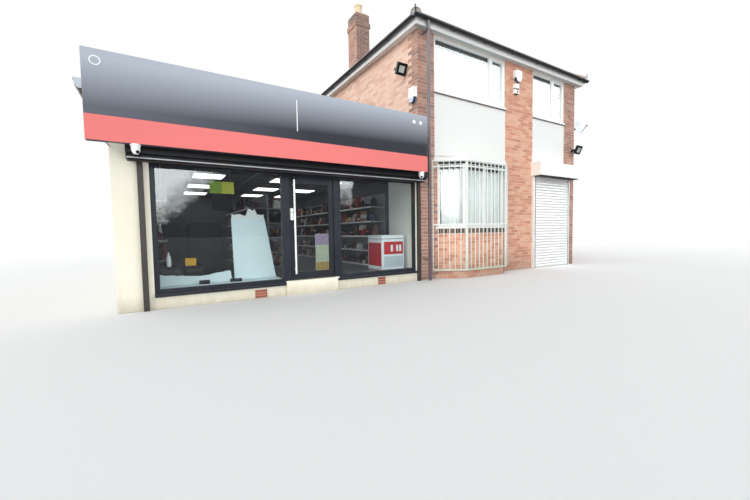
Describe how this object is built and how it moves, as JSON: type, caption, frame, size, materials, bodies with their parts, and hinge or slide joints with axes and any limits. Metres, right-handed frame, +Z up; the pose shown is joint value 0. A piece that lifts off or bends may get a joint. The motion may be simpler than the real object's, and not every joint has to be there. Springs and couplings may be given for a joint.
{
  "type": "corner shop building",
  "caption": "Single-storey corner shop with a wide sign built against a two-storey brick house with a hipped roof, a barred bay window and a shuttered entrance.",
  "frame": {"origin": "on the ground where the centre line of the house's front wall crosses the centre line of the wall shared by house and shop", "axes": "+X to the right along the front, +Y from the street into the building, +Z up"},
  "size_m": [11.8726, 8.1268, 8.725],
  "materials": {
    "black_metal": "black paint",
    "black_plastic": "black rainwater plastic",
    "board": "pale board",
    "brick": "red-brown facing brick with pale mortar",
    "clay": "buff clay",
    "dark_wood": "dark cabinet",
    "flat_roof": "grey roofing felt",
    "floor": "pale floor tile",
    "glass": "clear glass",
    "grey_frame": "anthracite paint",
    "light": "white light panel",
    "plaster": "white ceiling tile",
    "render": "cream painted render",
    "roof_tile": "dark brown concrete tile",
    "shelf": "pale shelving",
    "sign": "dark grey sign face with a red band",
    "steel": "satin",
    "timber_floor": "boarded floor",
    "white_board": "white weathered board",
    "white_frame": "white plastic frame",
    "white_metal": "white paint"
  },
  "bodies": {
    "building": {"alarm_boxes": "white_frame", "bay_dwarf_wall": "brick", "bay_flat_roof": "white_board", "bay_window_frame": "white_frame", "bay_window_glass": "glass", "ceiling_lights": "light", "chest_freezer": "white_metal", "chimney_pot": "clay", "chimney_stack": "brick", "dark_cabinet": "dark_wood", "door_frame": "grey_frame", "door_frame_hinges": "steel", "downpipes": "black_plastic", "eaves_boards": "white_board", "entrance_shutter_box": "white_metal", "entrance_shutter_curtain": "white_metal", "entrance_shutter_rails": "white_metal", "floodlights": "black_metal", "grille_front_panel": "white_metal", "grille_left_panel": "white_metal", "grille_right_panel": "white_metal", "gutters": "black_plastic", "house_floors": "timber_floor", "house_front_wall": "brick", "house_left_wall": "brick", "house_rear_wall": "brick", "house_right_wall": "brick", "house_roof": "roof_tile", "house_window_frames": "white_frame", "house_window_glass": "glass", "leaning_board": "board", "rear_door": "white_frame", "ridge_tiles": "roof_tile", "satellite_dish": "black_metal", "security_cameras": "white_frame", "shop_ceiling": "plaster", "shop_floor": "floor", "shop_front_beam": "render", "shop_front_piers": "render", "shop_left_wall": "render", "shop_plinth": "render", "shop_rear_wall": "render", "shop_roof": "flat_roof", "shop_roof_edge": "white_board", "shop_shelving": "shelf", "shop_window_frames": "grey_frame", "shop_window_glass": "glass", "shutter_box": "black_metal", "shutter_guide_rails": "black_metal", "sign_brackets": "steel", "sign_end_stay": "steel", "sign_tray": "sign", "spandrel_panels": "white_board", "window_display_deck": "plaster", "window_sills": "grey_frame"},
    "shop_door": {"door_glass": "glass", "door_leaf": "grey_frame", "door_leaf_hinges": "steel", "door_lock_box": "white_metal", "door_pull_bar": "white_metal"}
  },
  "joints": [
    {"name": "shop_door_hinge", "type": "hinge", "parent": "building", "child": "shop_door", "pos_m": [-2.109, -0.0405, 1.12], "axis": [0, 0, -1], "range_deg": [0, 90]}
  ]
}
